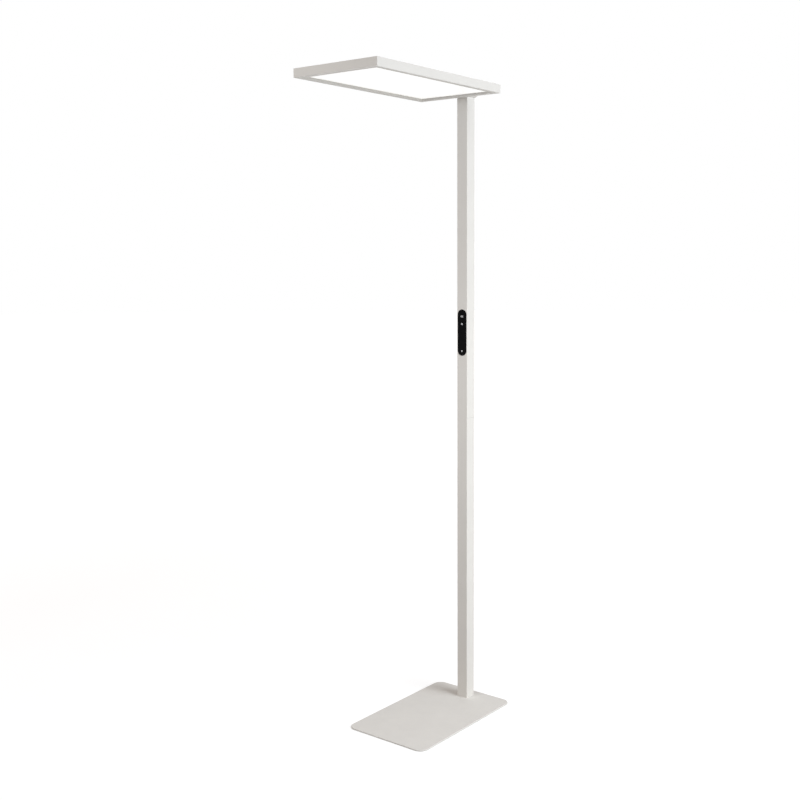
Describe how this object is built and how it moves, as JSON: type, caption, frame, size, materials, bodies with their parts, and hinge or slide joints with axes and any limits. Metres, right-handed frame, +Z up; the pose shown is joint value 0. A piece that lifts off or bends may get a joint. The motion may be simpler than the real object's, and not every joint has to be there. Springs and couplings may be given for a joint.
{
  "type": "office floor lamp",
  "caption": "Office floor lamp: flat rectangular light head held at its rear end by a square pole with a touch control panel, on a thin rectangular base plate with rounded corners.",
  "frame": {"origin": "on the floor, below the middle of the whole lamp's bounding box", "axes": "+X from the pole towards the head's free end, +Y to the left of someone who looks along +X, +Z up"},
  "size_m": [0.637, 0.302, 1.95],
  "materials": {
    "coat": "matte warm off-white powder coat",
    "pad": "matte dark pad",
    "steel": "zinc-plated, satin",
    "alloy": "plain mill finish",
    "black_plastic": "matte black",
    "panel_gloss": "gloss black",
    "circuit_board": "green board",
    "cable": "matte black sheath",
    "thin_wire": "red insulation",
    "opal": "opal, satin",
    "clear_acrylic": "clear, polished edges",
    "white_board": "matte white",
    "tray_white": "semi-gloss white"
  },
  "bodies": {
    "root": {"base_plate": "coat", "base_pads": "pad", "base_screws": "steel", "foot_block": "alloy", "lower_pole": "coat", "upper_pole": "coat", "joiner_sleeve": "alloy", "top_block": "alloy", "pole_screws": "steel", "power_inlet": "black_plastic", "inlet_nut": "steel", "supply_lead": "cable", "control_housing": "black_plastic", "control_board": "circuit_board", "control_fascia": "panel_gloss", "head_lead": "cable", "pole_cap": "coat", "cap_screws": "steel", "arm_plate": "steel", "arm_screws": "steel", "arm_seat": "steel", "left_rail": "coat", "right_rail": "coat", "front_rail": "coat", "rear_rail": "coat", "corner_keys": "alloy", "corner_screws": "steel", "lower_diffuser": "opal", "light_guide": "clear_acrylic", "edge_strips": "white_board", "reflector": "white_board", "gear_tray": "tray_white", "driver": "alloy", "driver_screws": "steel", "strip_wires": "thin_wire", "uplight_boards": "white_board", "uplight_wires": "thin_wire", "upper_diffuser": "opal", "top_cover": "coat", "cover_screws": "steel"}
  },
  "joints": []
}
